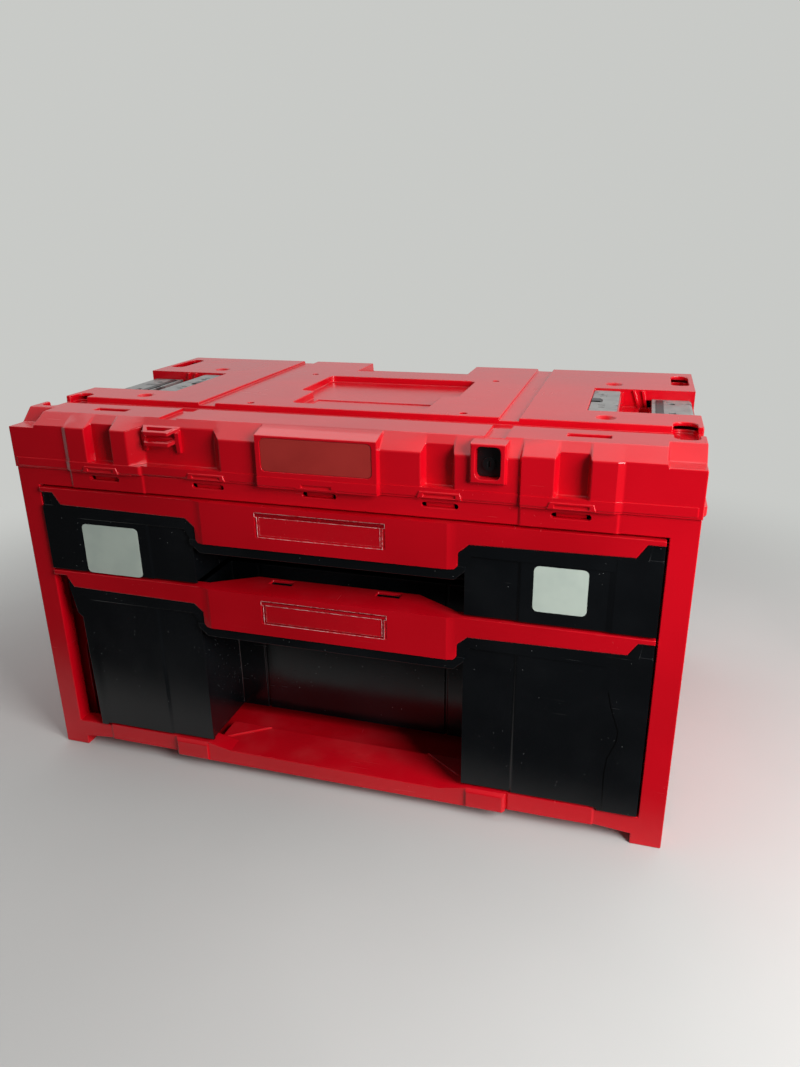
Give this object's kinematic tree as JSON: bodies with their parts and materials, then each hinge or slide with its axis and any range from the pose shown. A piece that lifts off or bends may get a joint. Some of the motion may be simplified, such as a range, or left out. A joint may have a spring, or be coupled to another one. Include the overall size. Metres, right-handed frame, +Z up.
{
  "type": "portable tool box with drawers",
  "caption": "Stackable moulded tool chest with pull-out drawers on telescopic slides, a stepped lid with recesses, fold-down side latches and wide pull handles.",
  "frame": {"origin": "middle of the footprint on the floor", "axes": "+X to the box's right as seen from the front, -Y out of the front, +Z up"},
  "size_m": [0.576, 0.359, 0.333],
  "materials": {
    "red_shell": "glossy moulded red plastic",
    "red_trim": "glossy moulded red plastic",
    "plate_red": "satin",
    "black_tray": "glossy moulded black plastic",
    "black_plastic": "satin",
    "grey_plate": "satin grey plastic",
    "clear_window": "clear moulded plastic",
    "steel": "zinc-plated",
    "paper": "coated paper"
  },
  "bodies": {
    "cabinet": {"cabinet_shell": "red_shell", "top_cover": "red_shell", "name_plate": "plate_red", "lock_insert": "black_plastic", "padlock_eye": "red_shell", "catch_plate_left": "grey_plate", "catch_plate_right": "grey_plate", "catch_clip_left": "black_plastic", "catch_clip_right": "black_plastic", "latch_pin_left": "steel", "latch_pin_right": "steel", "cabinet_slide_screws": "steel", "slide_upper_left_outer": "steel", "slide_lower_left_outer": "steel", "slide_upper_right_outer": "steel", "slide_lower_right_outer": "steel"},
    "drawer_upper": {"drawer_tray_upper": "black_tray", "drawer_trim_upper": "red_trim", "label_holder_upper": "clear_window", "upper_trim_screws": "steel", "upper_slide_screws": "steel", "slide_upper_left_inner": "steel", "slide_upper_right_inner": "steel", "front_label_left": "paper", "front_label_right": "paper"},
    "middle_upper_left": {"slide_upper_left_middle": "steel"},
    "middle_upper_right": {"slide_upper_right_middle": "steel"},
    "drawer_lower": {"drawer_tray_lower": "black_tray", "drawer_trim_lower": "red_trim", "label_holder_lower": "clear_window", "lower_trim_screws": "steel", "lower_slide_screws": "steel", "slide_lower_left_inner": "steel", "slide_lower_right_inner": "steel"},
    "middle_lower_left": {"slide_lower_left_middle": "steel"},
    "middle_lower_right": {"slide_lower_right_middle": "steel"},
    "latch_left": {"stack_latch_left": "grey_plate", "latch_pad_left": "black_plastic"},
    "latch_right": {"stack_latch_right": "grey_plate", "latch_pad_right": "black_plastic"}
  },
  "joints": [
    {"name": "drawer_upper_pull", "type": "slide", "parent": "cabinet", "child": "drawer_upper", "axis": [0, -1, 0], "range_m": [0, 0.29]},
    {"name": "middle_upper_left_run", "type": "slide", "parent": "cabinet", "child": "middle_upper_left", "axis": [0, -1, 0], "range_m": [0, 0.145]},
    {"name": "middle_upper_right_run", "type": "slide", "parent": "cabinet", "child": "middle_upper_right", "axis": [0, -1, 0], "range_m": [0, 0.145]},
    {"name": "drawer_lower_pull", "type": "slide", "parent": "cabinet", "child": "drawer_lower", "axis": [0, -1, 0], "range_m": [0, 0.29]},
    {"name": "middle_lower_left_run", "type": "slide", "parent": "cabinet", "child": "middle_lower_left", "axis": [0, -1, 0], "range_m": [0, 0.145]},
    {"name": "middle_lower_right_run", "type": "slide", "parent": "cabinet", "child": "middle_lower_right", "axis": [0, -1, 0], "range_m": [0, 0.145]},
    {"name": "latch_left_fold", "type": "hinge", "parent": "cabinet", "child": "latch_left", "pos_m": [-0.2795, 0.0005, 0.321], "axis": [0, -1, 0], "range_deg": [0, 95]},
    {"name": "latch_right_fold", "type": "hinge", "parent": "cabinet", "child": "latch_right", "pos_m": [0.2795, 0.0005, 0.321], "axis": [0, 1, 0], "range_deg": [0, 95]}
  ],
  "couplings": [
    {"joint": "middle_upper_left_run", "follows": "drawer_upper_pull", "ratio": 0.5},
    {"joint": "middle_upper_right_run", "follows": "drawer_upper_pull", "ratio": 0.5},
    {"joint": "middle_lower_left_run", "follows": "drawer_lower_pull", "ratio": 0.5},
    {"joint": "middle_lower_right_run", "follows": "drawer_lower_pull", "ratio": 0.5}
  ]
}
